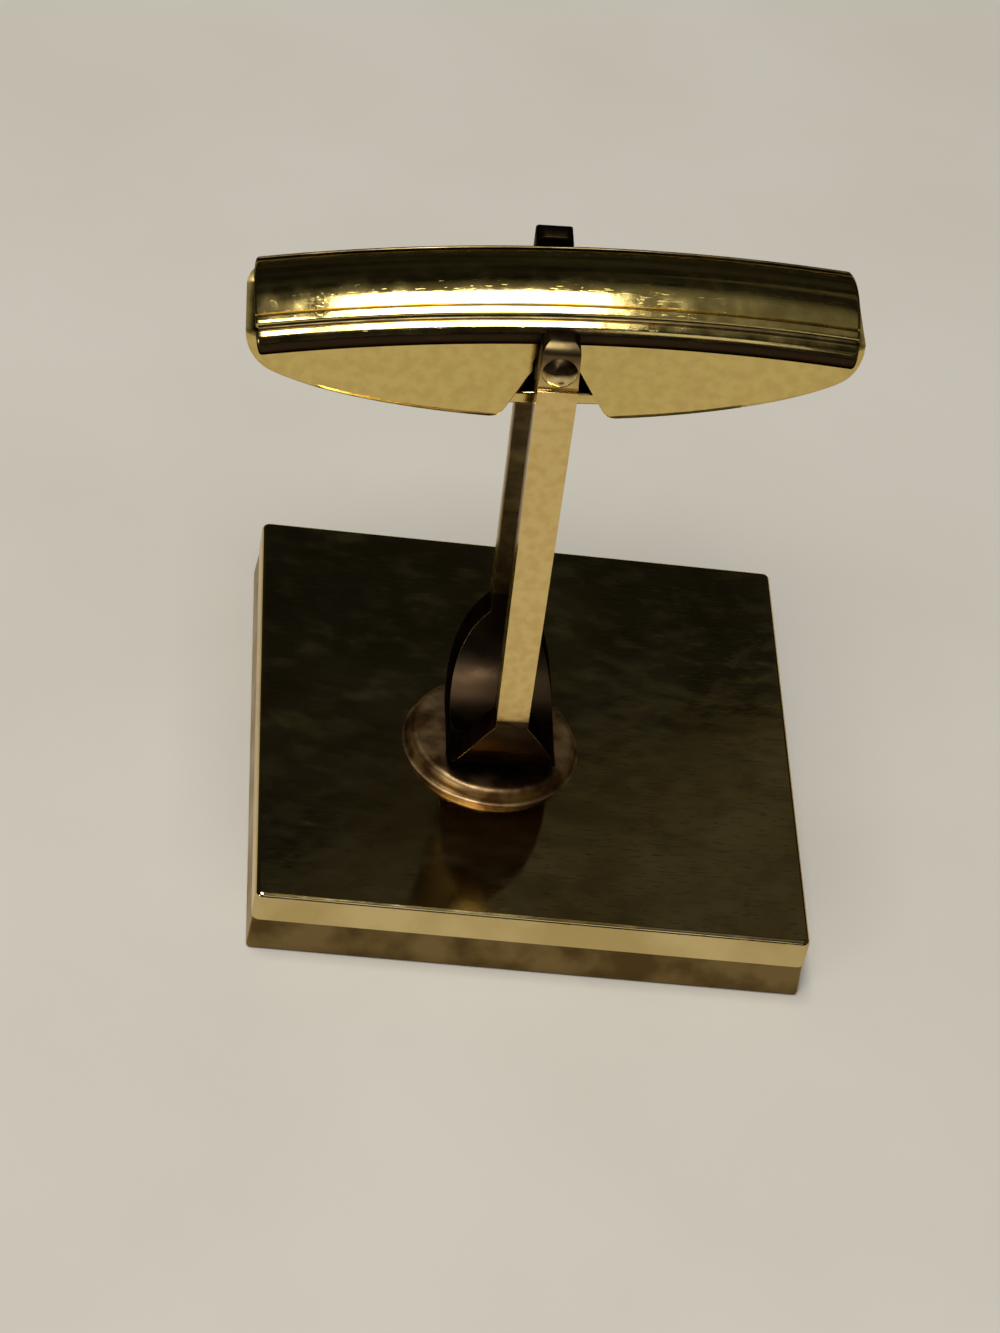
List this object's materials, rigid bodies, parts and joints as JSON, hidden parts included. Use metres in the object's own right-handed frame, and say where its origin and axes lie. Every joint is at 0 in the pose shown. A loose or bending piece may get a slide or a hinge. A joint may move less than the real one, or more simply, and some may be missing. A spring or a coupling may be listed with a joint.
{
  "type": "cufflink",
  "caption": "Swivel-bar cufflink: a square plain face, a bent strip post on a round pad, and an arched boat-shaped toggle that turns on a riveted pin.",
  "frame": {"origin": "centre of the square front face, which lies on the table", "axes": "+Z from the face along the post towards the toggle, X along the closed toggle, Y along its pivot pin"},
  "size_m": [0.0194, 0.0172, 0.0215],
  "materials": {
    "face_gold": "gold-plated brass, polished, slightly toned",
    "plate_gold": "gold-plated brass, mirror polished with fine wear",
    "post_gold": "gold-plated brass strip, bright polished",
    "pin_gold": "gold-plated brass, hammered rivet ends",
    "toggle_gold": "gold-plated pressed brass, polished with wear along the ridges",
    "cam_steel": "plain turned steel",
    "spring_steel": "blued spring steel"
  },
  "bodies": {
    "base": {"face_plate": "face_gold", "back_plate": "plate_gold", "foot_pad": "post_gold", "post": "post_gold", "pivot_pin": "pin_gold", "detent_cam": "cam_steel"},
    "toggle": {"toggle_cap": "toggle_gold", "toggle_tray": "toggle_gold", "detent_spring": "spring_steel"}
  },
  "joints": [
    {"name": "toggle_swivel", "type": "hinge", "parent": "base", "child": "toggle", "pos_m": [-0.00204, -0.00105, 0.0197], "axis": [0, 1, 0], "range_deg": [-90, 90], "deforming": ["detent_spring"]}
  ]
}
